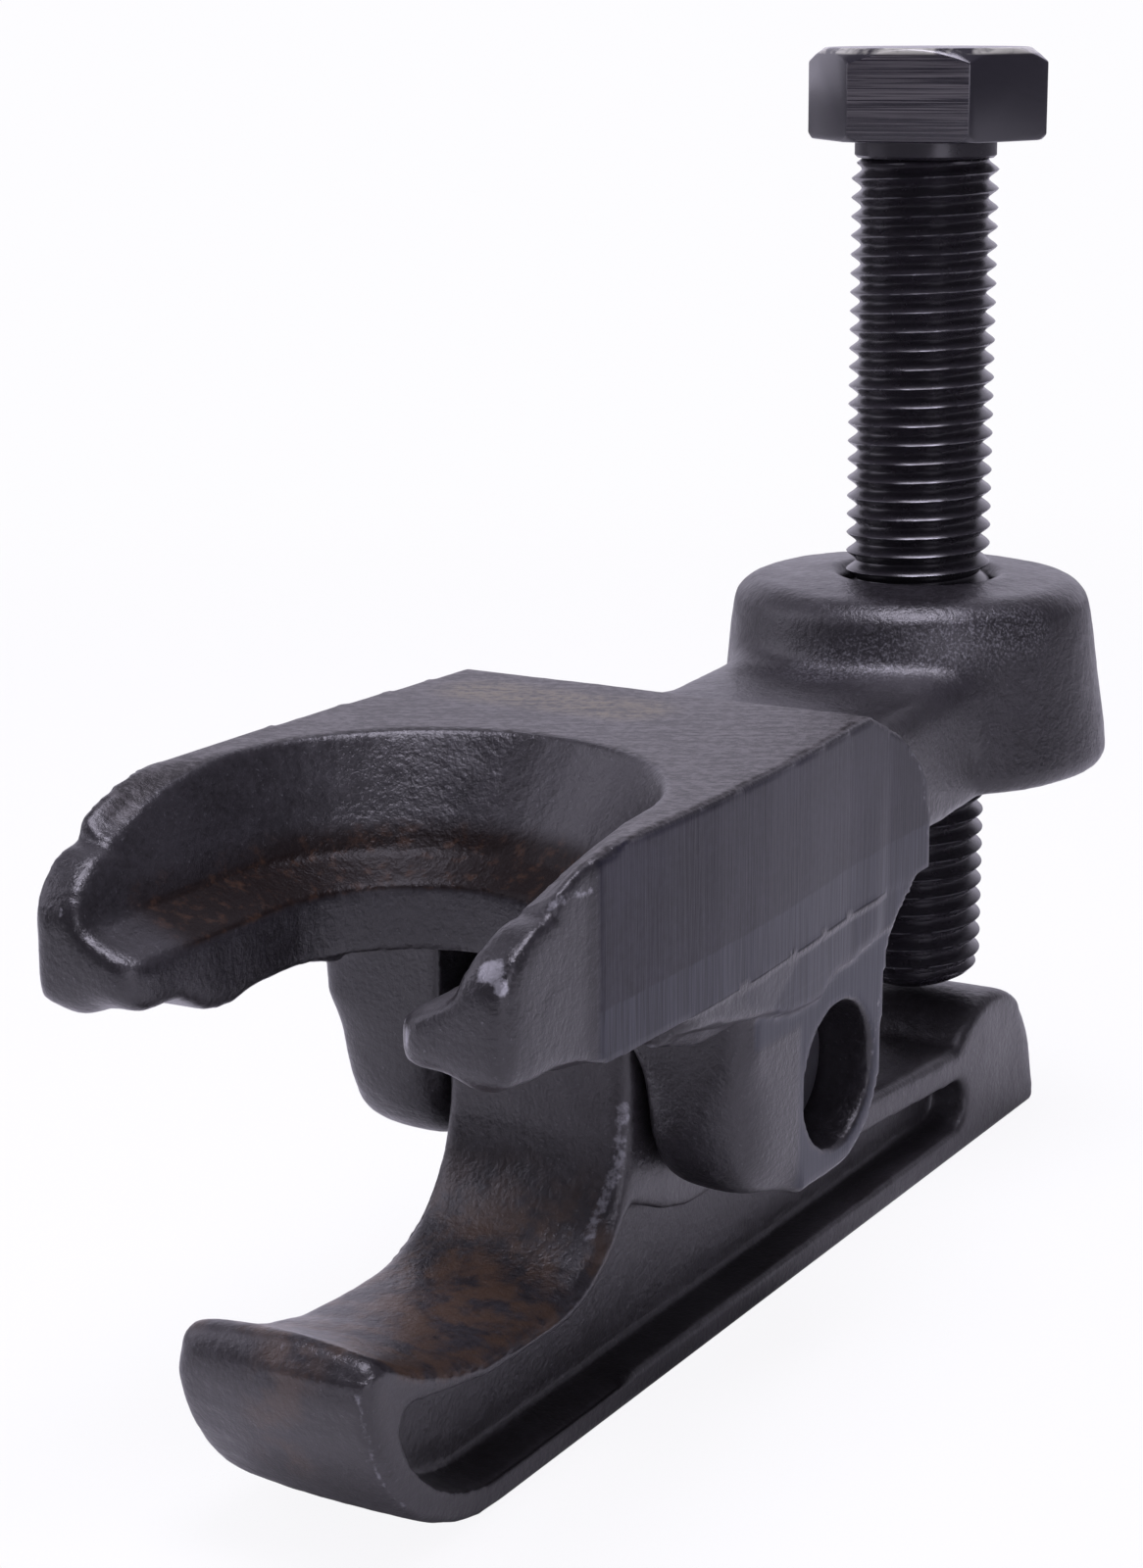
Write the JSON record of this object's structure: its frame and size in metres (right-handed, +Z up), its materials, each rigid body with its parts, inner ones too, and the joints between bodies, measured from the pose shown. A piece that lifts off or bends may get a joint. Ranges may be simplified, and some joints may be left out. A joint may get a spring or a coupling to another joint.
{
  "type": "ball joint puller",
  "caption": "Forged ball joint puller: an open fork over a pivoted lever jaw, closed by a hex-headed forcing screw.",
  "frame": {"origin": "foot of the screw's axis on the lever's flat underside, on which the tool rests", "axes": "+Z up along the screw towards its hex head, -Y from the screw towards the fork's open mouth, X across the tool along the pivot pin"},
  "size_m": [0.0482, 0.1433, 0.1195],
  "materials": {
    "fork": "blackened forging, ground on its top and sides",
    "lever": "blackened forging, rough in its webs",
    "pin": "blackened, satin",
    "spindle": "blackened and oiled"
  },
  "bodies": {
    "fork_body": {"fork": "fork", "pivot_pin": "pin"},
    "lever_body": {"lever": "lever"},
    "screw_body": {"spindle": "spindle"}
  },
  "joints": [
    {"name": "spindle_feed", "type": "slide", "parent": "fork_body", "child": "screw_body", "axis": [0, 0, -1], "range_m": [-0.0166, 0.0166]},
    {"name": "lever_pivot", "type": "hinge", "parent": "fork_body", "child": "lever_body", "pos_m": [0, -0.0625, 0.0282], "axis": [-1, 0, 0], "range_deg": [-15, 15]}
  ],
  "couplings": [
    {"joint": "lever_pivot", "follows": "spindle_feed", "rad_per_m": 15.723}
  ]
}
